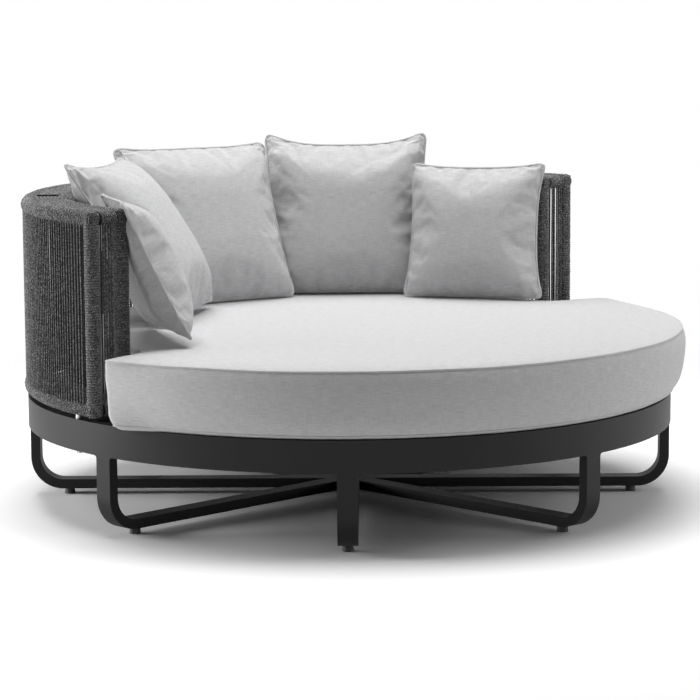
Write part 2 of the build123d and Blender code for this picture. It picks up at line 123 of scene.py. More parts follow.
# The wound back wall
wall_ends = (0.6, 179.4)
outer_rail_line = 0.8375
inner_rail_line = 0.7485
middle_line = (inner_rail_line + outer_rail_line) / 2
top_rail_height = 0.7855
bottom_rail_height = 0.315
rope_radius = 0.00325
rope_width = 2 * rope_radius
rope_sides = 7
rope_turn_points = 14
rope_turn_wobble = 0.0003
rope_seed = 7
rail_tube_radius = 0.014
post_tube_radius = 0.013
tie_tube_radius = 0.012
wound_rail_radius = rail_tube_radius + rope_width
wound_post_radius = post_tube_radius + rope_width
wound_tie_radius = tie_tube_radius + rope_width
winding_overhang = 0.018
winding_end_start = 0.0015
winding_end_round = 0.013
winding_end_points = 12
winding_end_tuck = 0.0035
winding_spare_turns = 3
post_end_inset = 0.0015
strand_radius = 0.0025
strand_pitch = 0.0129
strand_set_back = 0.003
strand_sink = 0.004
strand_steps = 14
strand_sway_points = 5
strand_sway_power = 0.5
strand_wobble = 0.0007
end_strand_count = 5
end_strand_pitch = 0.009
lacing_height = 0.79925
lacing_pitch = 0.0067
lacing_tuck = 0.0145
lacing_points = 4
lacing_stray_share = 0.04
lacing_rise_wobble = 0.00035
lacing_end_turn = 1.3
lacing_gap_turns = (137.2, 142.8)

# The mattress
seat_bulge_radius = 0.887
seat_neck_radius = 0.722
seat_bottom = 0.2863
seat_height = 0.180
seat_top = seat_bottom + seat_height
seat_shoulder_radius = 0.020
seat_neck_corner_radius = 0.060
seat_shoulder_drop = 0.0935
seat_neck_drop = 0.034
# Points on half of the outline: the back, the hollow corner, the end face, the shoulder and the front
seat_ring_points = (120, 14, 16, 16, 230)
# Height over the base and draw-in from the bulge, from the base up to the flat of the top
seat_profile = [
    (0.0, 0.048), (0.003, 0.041), (0.010, 0.0325), (0.020, 0.0235), (0.036, 0.0140), (0.055, 0.0085),
    (0.078, 0.0045), (0.100, 0.0018), (0.122, 0.0003), (0.138, 0.0006), (0.150, 0.0030),
    (0.160, 0.0065), (0.1665, 0.0100), (0.1695, 0.0160), (0.1725, 0.0300), (0.1757, 0.0550),
    (0.1782, 0.0950), (0.1796, 0.1600),
]
seat_profile_steps = 5
seat_profile_smoothings = 3
# The rings inside the edge of the top and of the base, as shares of that edge's reach
seat_top_ring_shares = (0.93, 0.84, 0.74, 0.62, 0.49, 0.35, 0.2, 0.08)
seat_base_ring_share = 0.5
seat_crown_drop = 0.0004
# The outline drawn in by this much shows which way each of its points faces
seat_facing_draw = 0.02
# The corners stand out sideways, by a reach at each height over the base, and over this many degrees
seat_corner_reach = [
    (0.0, 0.038), (0.02, 0.028), (0.05, 0.013), (0.09, 0.004), (0.14, 0.006), (0.166, 0.018),
    (0.172, 0.018), (0.18, 0.0),
]
seat_corner_width = 5.0
seat_corner_least_radius = 0.8
seat_top_seam = 0.1665
seat_bottom_seam = 0.010
seat_piping_radius = 0.0024
seat_piping_stand = 0.0006
seat_groove_drop = 0.0040
seat_groove_reach = 0.0014
seat_groove_depth = 0.0010
# Puckers, waves and dents: the pitch and layer of the noise behind each, and its height and reach
seat_top_pucker_noise = (21, 1.0)
seat_top_pucker_height = 0.0011
seat_top_pucker_reach = 0.014
seat_low_pucker_noise = (17, 5.0)
seat_low_pucker_height = 0.0012
seat_low_pucker_reach = 0.016
seat_seam_wave_noise = (4.5, 9.0)
seat_seam_wave_height = 0.0016
seat_side_wave_pitch = 3.4
seat_side_wave_rise = 14
seat_side_wave_height = 0.0022
seat_side_wave_start = 0.03
seat_dent_noise = (3.1, 3.0)
seat_dent_depth = 0.0012
seat_dent_swing = 0.0024
seat_dent_start = 0.01

# The cushions: side and thickness
large_cushion = (0.470, 0.155)
small_cushion = (0.378, 0.130)
wall_inner_radius = 0.728
piping_sides = 8
cushion_piping_radius = 0.0034
cushion_point_pitch = 0.0062
cushion_edge_crowding = 0.92
cushion_dip_power = 3.2
cushion_bend_power = 2.4
# How full a cushion is (second row) at each share of the way from its middle to a side (first row)
cushion_level_shares = ((0.0, 0.30, 0.53, 0.76, 0.92, 0.985, 1.0), (1.0, 1.0, 0.93, 0.75, 0.45, 0.15, 0.0))
corner_start = 0.84
cover_room = 0.0025
# The simulated filling that swells a cover
swell_settings = {
    "quality": 5, "mass": 0.3, "use_pressure": True, "uniform_pressure_force": 2.0,
    "vertex_group_mass": "seam", "pin_stiffness": 1.0, "shrink_min": -0.035,
    "tension_stiffness": 15, "compression_stiffness": 15, "bending_stiffness": 0.3,
}
swell_frames = 16
swell_limit = 0.022
swell_noise_pitch = 22
swell_noise_seed_step = 3.1
swell_noise_height = 0.0005
pucker_height = 0.0030
pucker_start = 0.006
pucker_reach = 0.030
pucker_pitch = 0.016
pucker_out_pitch = 9
pucker_seed_step = 5.7
first_cushion_seed = 3
# How far each side dips in, as shares of half a side (left, right, bottom, top), how far the
# corners are drawn in, how full the form is before it swells, how much flatter its back is at
# the top, and what bends it: (towards left or right, towards bottom or top, how far to the
# right, up and forward)
cushion_shapes = {
    "cushion_left_small": (
        (0.06, 0.06, 0.06, 0.08), 0.048, 0.90, 0.75,
        [(0, 1, (0.0, 0.0, -0.028)), (-1, 0, (0.0, 0.0, -0.050)), (-1, -1, (0.0, -0.004, 0.040))],
    ),
    "cushion_left_large": (
        (0.06, 0.07, 0.04, 0.07), 0.046, 0.98, 0.2,
        [(-1, 1, (-0.008, 0.036, 0.0))],
    ),
    "cushion_back_large": (
        (0.05, 0.06, 0.02, 0.09), 0.046, 0.90, 0.6,
        [(-1, 1, (-0.030, -0.012, 0.0)), (1, 1, (-0.004, -0.014, 0.0)), (1, -1, (0.012, -0.002, 0.0))],
    ),
    "cushion_right_large": ((0.06, 0.06, 0.02, 0.18), 0.052, 0.88, 0.2, []),
    "cushion_right_small": (
        (0.06, 0.10, 0.02, 0.07), 0.046, 0.86, 0.0,
        [(1, 1, (0.009, 0.005, 0.0)), (1, -1, (0.010, -0.003, 0.0)), (-1, -1, (-0.016, -0.001, 0.0)),
         (-1, 1, (-0.005, 0.004, 0.0))],
    ),
}
# How far round the wall, in large cushions from its middle, how far in from the wall and up from
# the seat, in sides of its own, then its turn, lean and roll in degrees, and its size
cushion_places = {
    "cushion_left_small": (2.2799, 0.3033, 0.5088, -15.39, 15.91, -3.37, small_cushion),
    "cushion_left_large": (1.119, 0.3828, 0.4461, -6.45, 32.58, 2.4, large_cushion),
    "cushion_back_large": (-0.0023, 0.2918, 0.4771, -9.1, 17.77, 0.12, large_cushion),
    "cushion_right_large": (-1.1257, 0.2234, 0.4905, -0.48, 11.86, 0.22, large_cushion),
    "cushion_right_small": (-2.1401, 0.3506, 0.4965, 22.59, 11.25, 0.52, small_cushion),
}


# Meshes and points

def new_object(name, verts, faces, uvs=None, smooth=True):
    mesh = bpy.data.meshes.new(name)
    mesh.from_pydata([tuple(v) for v in verts], [], faces)
    if uvs is not None:
        layer = mesh.uv_layers.new(name="run")
        layer.data.foreach_set("uv", np.asarray(uvs, np.float32).ravel())
    mesh.polygons.foreach_set("use_smooth", [smooth] * len(mesh.polygons))
    mesh.update()
    obj = bpy.data.objects.new(name, mesh)
    bpy.context.scene.collection.objects.link(obj)
    return obj


def unit(rows):
    return rows / np.linalg.norm(rows, axis=1)[:, None]


def lengths_along(points):
    steps = np.linalg.norm(np.diff(points, axis=0), axis=1)
    return np.concatenate([[0], np.cumsum(steps)])


def closed(points):
    return np.concatenate([points, points[:2]])


def flat_direction(degrees):
    angle = math.radians(degrees)
    return np.array([math.cos(angle), math.sin(angle), 0.0])


def raised(height):
    return np.array([0, 0, height])


def flat_noise(points, pitch, layer):
    return np.array([noise.noise(Vector((p[0] * pitch, p[1] * pitch, layer))) for p in points])


# Materials

def node(tree, kind, inputs=None, **settings):
    made = tree.nodes.new(kind)
    for key, value in settings.items():
        setattr(made, key, value)
    for key, value in (inputs or {}).items():
        if isinstance(value, bpy.types.NodeSocket):
            tree.links.new(value, made.inputs[key])
        else:
            made.inputs[key].default_value = value
    return made


def math_node(tree, operation, first, second=0.0):
    return node(tree, "ShaderNodeMath", {0: first, 1: second}, operation=operation).outputs[0]


def wave(tree, value, length):
    return math_node(tree, "SINE", math_node(tree, "MULTIPLY", value, math.tau / length))


def new_material(name, roughness, specular):
    material = bpy.data.materials.new(name)
    material.use_nodes = True
    tree = material.node_tree
    shader = tree.nodes["Principled BSDF"]
    shader.inputs["Roughness"].default_value = roughness
    shader.inputs["Specular IOR Level"].default_value = specular
    return material, tree, shader


def add_sheen(shader, weight, roughness):
    shader.inputs["Sheen Weight"].default_value = weight
    shader.inputs["Sheen Roughness"].default_value = roughness


def grey(level, tint=0.0):
    return (level, level, level * (1 + tint), 1)


def object_place(tree):
    return node(tree, "ShaderNodeTexCoord").outputs["Object"]


def noise_value(tree, vector, scale, detail, rough=0.5):
    inputs = {"Vector": vector, "Scale": scale, "Detail": detail, "Roughness": rough}
    return node(tree, "ShaderNodeTexNoise", inputs).outputs["Fac"]


def shade(tree, value, start, end, start_level, end_level, start_tint=0.0, end_tint=0.0):
    made = node(tree, "ShaderNodeValToRGB", {"Fac": value})
    made.color_ramp.elements[0].position = start
    made.color_ramp.elements[1].position = end
    made.color_ramp.elements[0].color = grey(start_level, start_tint)
    made.color_ramp.elements[1].color = grey(end_level, end_tint)
    return made.outputs["Color"]


def colour_socket(sockets, name):
    return [s for s in sockets if s.name == name and s.type == "RGBA"][0]


def product(tree, first, *others):
    # Colours multiplied in turn, each one a socket or a plain colour
    for other in others:
        made = node(tree, "ShaderNodeMix", {"Factor": 1.0}, data_type="RGBA", blend_type="MULTIPLY")
        for name, value in (("A", first), ("B", other)):
            target = colour_socket(made.inputs, name)
            if isinstance(value, bpy.types.NodeSocket):
                tree.links.new(value, target)
            else:
                target.default_value = value
        first = colour_socket(made.outputs, "Result")
    return first


def bump(tree, shader, height, distance, strength, normal=None):
    inputs = {"Height": height, "Distance": distance, "Strength": strength}
    if normal is not None:
        inputs["Normal"] = normal
    made = node(tree, "ShaderNodeBump", inputs)
    tree.links.new(made.outputs["Normal"], shader.inputs["Normal"])
    return made.outputs["Normal"]


def paint_material():
    material, tree, shader = new_material("frame_paint", *paint_surface)
    place = object_place(tree)
    grain = noise_value(tree, place, *paint_grain_noise)
    cloud_shade = shade(tree, noise_value(tree, place, *paint_cloud_noise), *paint_cloud_shade)
    grain_shade = shade(tree, grain, *paint_grain_shade)
    tree.links.new(product(tree, cloud_shade, grain_shade), shader.inputs["Base Color"])
    bump(tree, shader, grain, *paint_relief)
    return material


def rope_material():
    material, tree, shader = new_material("rope", *rope_surface)
    run = node(tree, "ShaderNodeUVMap", uv_map="run").outputs["UV"]
    parts = node(tree, "ShaderNodeSeparateXYZ", {"Vector": run})
    around = math_node(tree, "MULTIPLY", parts.outputs["X"], rope_braid_threads * math.tau)
    along = math_node(tree, "MULTIPLY", parts.outputs["Y"], math.tau / rope_braid_length)
    rising = math_node(tree, "SINE", math_node(tree, "ADD", around, along))
    falling = math_node(tree, "SINE", math_node(tree, "SUBTRACT", around, along))
    braid = math_node(tree, "MAXIMUM", rising, falling)
    # Painted shade darkens each turn and strand in its grooves, on both sides of its outer crest, and a
    # painted highlight lifts the crest
    crest = math_node(tree, "COSINE", math_node(tree, "MULTIPLY", parts.outputs["X"], math.tau))
    place = object_place(tree)
    yarn = noise_value(tree, place, *rope_yarn_noise)
    patches = noise_value(tree, place, *rope_patch_noise)
    # The braid's valleys are darkened there as painted shade
    shades = [shade(tree, yarn, *rope_yarn_shade), shade(tree, braid, *rope_braid_valley_painted_shade),
              shade(tree, patches, *rope_patch_shade), shade(tree, crest, *rope_groove_painted_shade_crest_highlight)]
    tree.links.new(product(tree, *shades), shader.inputs["Base Color"])
    add_sheen(shader, *rope_sheen)
    fuzz = bump(tree, shader, yarn, *rope_yarn_relief)
    bump(tree, shader, braid, *rope_braid_relief, fuzz)
    return material


def thread_noise(tree, run, across, up):
    scaled = node(tree, "ShaderNodeMapping", {"Vector": run, "Scale": (across, up, 1.0)})
    return noise_value(tree, scaled.outputs["Vector"], *fabric_thread_noise)


def fabric_material(name, level):
    material, tree, shader = new_material(name, *fabric_surface)
    run = node(tree, "ShaderNodeUVMap", uv_map="run").outputs["UV"]
    fine, coarse = fabric_thread_scales
    warp = thread_noise(tree, run, fine, coarse)
    weft = thread_noise(tree, run, coarse, fine)
    cloud = noise_value(tree, run, *fabric_cloud_noise)
    parts = node(tree, "ShaderNodeSeparateXYZ", {"Vector": run})
    across = wave(tree, parts.outputs["X"], fabric_weave_length)
    up = wave(tree, parts.outputs["Y"], fabric_weave_length)
    weave = math_node(tree, "MULTIPLY", across, up)
    shades = [shade(tree, warp, *fabric_warp_shade), shade(tree, weft, *fabric_weft_shade),
              shade(tree, cloud, *fabric_cloud_shade)]
    tree.links.new(product(tree, *shades, grey(level, fabric_tint)), shader.inputs["Base Color"])
    add_sheen(shader, *fabric_sheen)
    threads = bump(tree, shader, weft, *fabric_thread_relief)
    bump(tree, shader, weave, *fabric_weave_relief, threads)
    return material


def add_grain(tree, shader, grain_noise, grain_shade, grain_relief):
    grain = noise_value(tree, object_place(tree), *grain_noise)
    tree.links.new(shade(tree, grain, *grain_shade), shader.inputs["Base Color"])
    bump(tree, shader, grain, *grain_relief)


def steel_material():
    material, tree, shader = new_material("steel", *steel_surface)
    shader.inputs["Metallic"].default_value = 1.0
    add_grain(tree, shader, steel_noise, steel_shade, steel_relief)
    return material


def foot_material():
    material, tree, shader = new_material("foot_plastic", *foot_surface)
    add_grain(tree, shader, foot_noise, foot_shade, foot_relief)
    return material


# Tubes along lines, with a texture run of turns round and metres along

def tube(points, outwards, radius, sides):
    points = np.asarray(points)
    outwards = np.asarray(outwards)
    tangent = unit(np.gradient(points, axis=0))
    first = unit(outwards - (outwards * tangent).sum(1)[:, None] * tangent)
    second = np.cross(tangent, first)
    angle = np.arange(sides) * math.tau / sides
    first_part = np.cos(angle)[None, :, None] * first[:, None, :]
    second_part = np.sin(angle)[None, :, None] * second[:, None, :]
    verts = (points[:, None, :] + radius * (first_part + second_part)).reshape(-1, 3)
    run = lengths_along(points)
    row, column = np.meshgrid(np.arange(len(points) - 1), np.arange(sides), indexing="ij")
    row, column = row.ravel(), column.ravel()
    after = (column + 1) % sides
    here, beyond = row * sides, (row + 1) * sides
    faces = np.stack([here + column, here + after, beyond + after, beyond + column], 1)
    around = np.stack([column, column + 1, column + 1, column], 1) / sides
    along = np.stack([run[row], run[row], run[row + 1], run[row + 1]], 1)
    return verts, faces, np.stack([around, along], 2)


def tubes_object(name, lines, radius, sides):
    verts, faces, uvs, base = [], [], [], 0
    for points, outwards in lines:
        some_verts, some_faces, some_uvs = tube(points, outwards, radius, sides)
        verts.append(some_verts)
        faces.append(some_faces + base)
        uvs.append(some_uvs)
        base += len(some_verts)
    return new_object(name, np.concatenate(verts), np.concatenate(faces).tolist(), np.concatenate(uvs))


def closed_tube(name, points, outwards, radius):
    return tubes_object(name, [(closed(points), closed(outwards))], radius, piping_sides)


# Rope

def rounded_profile(length, wound_radius):
    # A coil's own line over a bar with rounded ends: along the bar, and out from its middle
    small = winding_end_round - rope_radius
    flat = wound_radius + rope_radius - winding_end_round
    head = [(rope_radius, winding_end_start), (rope_radius, flat / 2)]
    for angle in np.linspace(0, math.pi / 2, winding_end_points):
        head.append((winding_end_round - small * math.cos(angle), flat + small * math.sin(angle)))
    tail = [(length - along, out) for along, out in head[::-1]]
    return head + tail


def coil(profile, generator):
    profile = np.asarray(profile)
    run = lengths_along(profile)
    turns = run[-1] / rope_width
    where = np.linspace(0, run[-1], int(turns * rope_turn_points))
    along = np.interp(where, run, profile[:, 0])
    out = np.interp(where, run, profile[:, 1])
    loose = generator.normal(0, rope_turn_wobble, int(turns) + winding_spare_turns)
    out = out + np.interp(where / rope_width, np.arange(len(loose)), loose)
    return along, out, where / rope_width * math.tau


def rail_coil(line, height, generator):
    wound = rail_tube_radius + rope_radius
    length = math.radians(wall_ends[1] - wall_ends[0]) * line + 2 * winding_overhang
    along, out, turn = coil(rounded_profile(length, wound), generator)
    angle = math.radians(wall_ends[0]) + (along - winding_overhang) / line
    flat = np.stack([np.cos(angle), np.sin(angle), np.zeros_like(angle)], 1)
    away = np.cos(turn)[:, None] * flat + np.sin(turn)[:, None] * raised(1.0)
    return line * flat + raised(height) + out[:, None] * away, away


def bar_coil(start, direction, side, length, tube_radius, generator):
    wound = tube_radius + rope_radius
    profile = [(rope_radius, wound), (length - rope_radius, wound)]
    along, out, turn = coil(profile, generator)
    away = np.cos(turn)[:, None] * side + np.sin(turn)[:, None] * np.cross(direction, side)
    return start + along[:, None] * direction + out[:, None] * away, away


def strand_line(base, outward, low, high, generator):
    heights = np.linspace(low, high, strand_steps)
    sideways = np.array([-outward[1], outward[0], 0.0])
    sway_heights = np.linspace(low, high, strand_sway_points)
    sway = np.interp(heights, sway_heights, generator.normal(0, strand_wobble, strand_sway_points))
    ease = np.sin(np.linspace(0, math.pi, strand_steps)) ** strand_sway_power
    lean = np.interp(heights, [low, high], generator.normal(0, strand_wobble, 2))
    points = base + heights[:, None] * raised(1.0) + (sway * ease + lean)[:, None] * sideways
    return points, np.repeat(outward[None, :], strand_steps, 0)


def strand_heights(wound_radius):
    inset = wound_radius - strand_set_back - rope_width
    cover = math.sqrt(wound_radius ** 2 - inset ** 2) - strand_sink
    return bottom_rail_height + cover, top_rail_height - cover


def wall_strands(rail_line, side, generator):
    line = rail_line + side * (wound_rail_radius - strand_set_back - rope_radius)
    margin = math.degrees((wound_post_radius + strand_pitch / 2) / rail_line)
    first = wall_ends[0] + margin
    last = wall_ends[1] - margin
    steps = round(math.radians(last - first) * line / strand_pitch)
    low, high = strand_heights(wound_rail_radius)
    lines = []
    for step in range(steps + 1):
        outward = flat_direction(first + (last - first) * step / steps)
        lines.append(strand_line(line * outward, side * outward, low, high, generator))
    return lines


def end_strands(angle, side, generator):
    outward = flat_direction(angle)
    face = side * flat_direction(angle + 90)
    low, high = strand_heights(wound_tie_radius)
    lines = []
    for index in range(end_strand_count):
        place = middle_line + (index - (end_strand_count - 1) / 2) * end_strand_pitch
        base = place * outward + (wound_tie_radius - strand_set_back - rope_radius) * face
        lines.append(strand_line(base, face, low, high, generator))
    return lines


def lacing_lines(generator):
    # Rope laid across from the inner to the outer wound top rail, with one gap
    step = math.degrees(lacing_pitch / middle_line)
    reach = np.linspace(inner_rail_line + lacing_tuck, outer_rail_line - lacing_tuck, lacing_points)
    starts = (wall_ends[0] + lacing_end_turn, lacing_gap_turns[1])
    ends = (lacing_gap_turns[0], wall_ends[1] - lacing_end_turn)
    lines = []
    for first, last in zip(starts, ends):
        for angle in np.linspace(first + step / 2, last - step / 2, round((last - first) / step)):
            outward = flat_direction(angle + generator.normal(0, step * lacing_stray_share))
            rise = lacing_height + generator.normal(0, lacing_rise_wobble)
            points = reach[:, None] * outward + raised(rise)
            lines.append((points, np.repeat(raised(1.0)[None, :], lacing_points, 0)))
    return lines


def post_coil(line, outward, generator):
    low = bottom_rail_height - wound_rail_radius + post_end_inset
    high = top_rail_height + wound_rail_radius - post_end_inset
    start = line * outward + raised(low)
    return bar_coil(start, raised(1.0), outward, high - low, post_tube_radius, generator)


def tie_coil(height, outward, generator):
    low = inner_rail_line + wound_rail_radius - winding_end_tuck
    length = outer_rail_line - wound_rail_radius + winding_end_tuck - low
    start = low * outward + raised(height)
    return bar_coil(start, outward, raised(1.0), length, tie_tube_radius, generator)


def make_rope(material):
    generator = np.random.default_rng(rope_seed)

    def add(name, lines, *replaced, radius=rope_radius):
        piece = tubes_object(name, lines, radius, rope_sides)
        piece.data.materials.append(material)
        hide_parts(*replaced)
        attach(piece, "frame")

    right, left = wall_ends
    heights = {"bottom": bottom_rail_height, "top": top_rail_height}
    for side, line in {"outer": outer_rail_line, "inner": inner_rail_line}.items():
        for level, height in heights.items():
            add(f"{level}_rope_coil_{side}", [rail_coil(line, height, generator)], f"{level}_winding_{side}")
        for end, angle in {"right": right, "left": left}.items():
            turns = post_coil(line, flat_direction(angle), generator)
            add(f"{end}_post_rope_coil_{side}", [turns], f"{end}_post_winding_{side}")
    ties = []
    for angle in wall_ends:
        for height in heights.values():
            ties.append(tie_coil(height, flat_direction(angle), generator))
    add("tie_rope_coils", ties, "tie_windings")
    add("top_rope_lacing", lacing_lines(generator), "top_lacing")
    for side, line, facing in (("outer", outer_rail_line, 1), ("inner", inner_rail_line, -1)):
        strands = wall_strands(line, facing, generator)
        add(f"{side}_rope_strands", strands, f"{side}_strands", radius=strand_radius)
    for end, angle, facing in (("right", right, -1), ("left", left, 1)):
        strands = end_strands(angle, facing, generator)
        add(f"{end}_end_rope_strands", strands, f"{end}_end_strands", radius=strand_radius)


# Mattress

def arc_points(middle, radius, start, end, count):
    angles = np.linspace(start, end, count, endpoint=False)
    return np.asarray(middle) + radius * np.stack([np.cos(angles), np.sin(angles)], 1)


def seat_ring(draw):
    # The mattress outline, drawn in by a length, with the same number of points each time
    back_points, hollow_points, face_points, shoulder_points, front_points = seat_ring_points
    neck_across = math.sqrt(seat_neck_radius ** 2 - seat_neck_drop ** 2)
    neck = np.array([neck_across, -seat_neck_drop])
    shoulder_across = math.sqrt(seat_bulge_radius ** 2 - seat_shoulder_drop ** 2)
    shoulder = np.array([shoulder_across, -seat_shoulder_drop])
    along = (shoulder - neck) / np.linalg.norm(shoulder - neck)
    inwards = np.array([along[1], -along[0]])
    back, front = seat_neck_radius - draw, seat_bulge_radius - draw

    def centre(radius, shift):
        # The point at a radius from the axis, on the end face's line shifted inwards
        start = neck + (draw + shift) * inwards
        dot = start @ along
        return start + (math.sqrt(dot ** 2 + radius ** 2 - start @ start) - dot) * along

    outer = centre(front - seat_shoulder_radius, seat_shoulder_radius)
    hollow = centre(back + seat_neck_corner_radius, -seat_neck_corner_radius)
    face_turn = math.atan2(inwards[1], inwards[0])
    hollow_turn = math.atan2(hollow[1], hollow[0])
    outer_turn = math.atan2(outer[1], outer[0])
    start = hollow + seat_neck_corner_radius * inwards
    stop = outer - seat_shoulder_radius * inwards
    right = np.concatenate([
        arc_points((0, 0), back, math.pi / 2, hollow_turn, back_points),
        arc_points(hollow, seat_neck_corner_radius, hollow_turn + math.pi, face_turn + math.tau,
                   hollow_points),
        start + (stop - start) * np.linspace(0, 1, face_points, endpoint=False)[:, None],
        arc_points(outer, seat_shoulder_radius, face_turn + math.pi, outer_turn, shoulder_points),
        arc_points((0, 0), front, outer_turn, -math.pi / 2, front_points),
    ])
    left = right[:0:-1] * np.array([-1, 1])
    return np.concatenate([right, [[0, -front]], left])


def seat_outward(bulge):
    return unit(bulge - seat_ring(seat_facing_draw))


def seat_levels():
    # The height and draw-in of each ring, along the profile with its corners rounded
    heights, draws = np.array(seat_profile).T
    steps = np.arange(len(heights))
    fine = np.arange(seat_profile_steps * steps[-1] + 1) / seat_profile_steps
    levels = np.stack([np.interp(fine, steps, heights), np.interp(fine, steps, draws)])
    for _ in range(seat_profile_smoothings):
        levels[:, 1:-1] = (levels[:, :-2] + 2 * levels[:, 1:-1] + levels[:, 2:]) / 4
    return levels


def near(height, middle, reach):
    return math.exp(-((height - middle) / reach) ** 2)


def corner_shares(bulge):
    # How much each point of the outline belongs to a front corner, below zero on the left
    turn = np.degrees(np.arctan2(bulge[:, 1], np.abs(bulge[:, 0])))
    corner_turn = -math.degrees(math.asin(seat_shoulder_drop / seat_bulge_radius))
    share = np.exp(-((turn - corner_turn) / seat_corner_width) ** 2)
    return np.sign(bulge[:, 0]) * share * (np.linalg.norm(bulge, axis=1) > seat_corner_least_radius)


def seat_side_rings(bulge, run, levels):
    turn = run[:-1] / run[-1] * math.tau
    circle = np.stack([np.cos(turn), np.sin(turn)], 1)
    outward = seat_outward(bulge)
    corners = corner_shares(bulge)
    corner_heights, corner_reaches = np.array(seat_corner_reach).T
    top_pucker = seat_top_pucker_height * flat_noise(circle, *seat_top_pucker_noise)
    low_pucker = seat_low_pucker_height * flat_noise(circle, *seat_low_pucker_noise)
    seam_wave = seat_seam_wave_height * flat_noise(circle, *seat_seam_wave_noise)
    rings = []
    for height, draw in levels.T:
        near_top = near(height, seat_top_seam, seat_top_pucker_reach)
        near_low = near(height, seat_bottom_seam, seat_low_pucker_reach)
        side_wave = flat_noise(circle, seat_side_wave_pitch, height * seat_side_wave_rise)
        shift = top_pucker * near_top + low_pucker * near_low
        shift += seat_side_wave_height * side_wave * min(1, height / seat_side_wave_start)
        shift -= seat_groove_depth * near(height, seat_top_seam - seat_groove_drop, seat_groove_reach)
        points = seat_ring(draw) + shift[:, None] * outward
        points[:, 0] += corners * np.interp(height, corner_heights, corner_reaches)
        rings.append(np.column_stack([points, seat_bottom + height + seam_wave * near_top]))
    return rings


def seat_rings(bulge, run, levels):
    # Rings from inside the base, up the side and in over the top
    rings = seat_side_rings(bulge, run, levels)
    base, rim = rings[0], rings[-1]
    rings.insert(0, base * (seat_base_ring_share, seat_base_ring_share, 1))
    for share in seat_top_ring_shares:
        heights = np.full(len(rim), seat_top - seat_crown_drop * share)
        rings.append(np.column_stack([share * rim[:, :2], heights]))
    return rings


def dent_top(verts):
    # Shallow dents in the flat of the top, that begin at the seam
    above = verts[:, 2] - seat_bottom - seat_top_seam
    depth = seat_dent_depth - seat_dent_swing * flat_noise(verts, *seat_dent_noise)
    verts[:, 2] -= np.clip(above / seat_dent_start, 0, 1) * depth


def seat_faces(verts, row_count, run, seam_row):
    # The texture runs flat over the top and the base, and round and up on the side
    count = len(run) - 1
    faces = []
    uvs = []
    for row in range(row_count - 1):
        low, high = row * count, (row + 1) * count
        flat = row == 0 or row >= seam_row
        for k in range(count):
            after = (k + 1) % count
            corners = [low + after, low + k, high + k, high + after]
            faces.append(corners)
            if flat:
                uvs += [tuple(verts[c][:2]) for c in corners]
            else:
                runs = (run[k + 1], run[k], run[k], run[k + 1])
                uvs += [(along, verts[c][2]) for along, c in zip(runs, corners)]
    last = (row_count - 1) * count
    for cap in (list(range(last, last + count))[::-1], list(range(count))):
        faces.append(cap)
        uvs += [tuple(verts[c][:2]) for c in cap]
    return faces, uvs


def mattress(material):
    bulge = seat_ring(0)
    count = len(bulge)
    run = lengths_along(np.concatenate([bulge, bulge[:1]]))
    levels = seat_levels()
    rings = seat_rings(bulge, run, levels)
    verts = np.concatenate(rings)
    dent_top(verts)
    seam_rows = [1 + int(np.argmin(np.abs(levels[0] - seam))) for seam in (seat_top_seam, seat_bottom_seam)]
    faces, uvs = seat_faces(verts, len(rings), run, seam_rows[0])
    cover = new_object("mattress_cover", verts, faces, uvs)
    cover.data.materials.append(material)
    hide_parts("mattress")
    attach(cover, "mattress")
    outward = np.column_stack([seat_outward(bulge), np.zeros(count)])
    for name, row in zip(("mattress_top_piping", "mattress_bottom_piping"), seam_rows):
        ring = verts[row * count:(row + 1) * count]
        piping = closed_tube(name, ring + seat_piping_stand * outward, outward, seat_piping_radius)
        piping.data.materials.append(material)
        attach(piping, "mattress")


# Cushions

def cushion_level(share):
    return np.interp(np.abs(share), *cushion_level_shares)


def corner_nearness(share):
    return np.clip((np.abs(share) - corner_start) / (1 - corner_start), 0, 1) ** 2


def dip(share, before, after, across):
    return np.where(share > 0, after, before) * (1 - np.abs(across) ** cushion_dip_power)


def towards(share, side):
    # From 0 to 1 towards the given side, or 1 all over where no side is given
    return np.where(side == 0, 1, (1 + side * share) / 2)


def cushion_panels(size, divisions, dips, drawn, fullness, flatness, bends):
    # The front and the back panel, each a grid of points from the bottom left corner
    side, thickness = size
    left, right, low, high = dips
    ease = cushion_edge_crowding * math.pi / 2
    steps = np.sin(np.linspace(-1, 1, divisions + 1) * ease) / math.sin(ease)
    a, b = np.meshgrid(steps, steps, indexing="ij")
    drawn = drawn * corner_nearness(a) * corner_nearness(b)
    x = side / 2 * a * (1 - dip(a, left, right, b) - drawn)
    y = side / 2 * b * (1 - dip(b, low, high, a) - drawn)
    front = fullness * thickness / 2 * cushion_level(a) * cushion_level(b)
    back = -front * (1 - flatness * (1 + b) / 2)
    bend = np.zeros(a.shape + (3,))
    for across, up, move in bends:
        share = towards(a, across) * towards(b, up)
        bend += (share ** cushion_bend_power)[:, :, None] * np.array(move)
    return np.stack([x, y, front], 2) + bend, np.stack([x, y, back], 2) + bend


def cushion_grid(front, back):
    # Both panels' points, faces, and the points of the seam that they share, in turn
    count = len(front)
    inside = (slice(1, -1), slice(1, -1))
    front_index = np.arange(count ** 2).reshape(count, count)
    back_index = front_index.copy()
    back_index[inside] = count ** 2 + np.arange((count - 2) ** 2).reshape(count - 2, count - 2)
    verts = np.concatenate([front.reshape(-1, 3), back[inside].reshape(-1, 3)])
    faces = []
    for grid, order in ((front_index, 1), (back_index, -1)):
        corners = np.stack([grid[:-1, :-1], grid[1:, :-1], grid[1:, 1:], grid[:-1, 1:]], 2)
        faces += corners.reshape(-1, 4)[:, ::order].tolist()
    grid = front_index
    seam = np.concatenate([grid[:-1, 0], grid[-1, :-1], grid[:0:-1, -1], grid[0, :0:-1]])
    return verts, faces, seam.tolist()


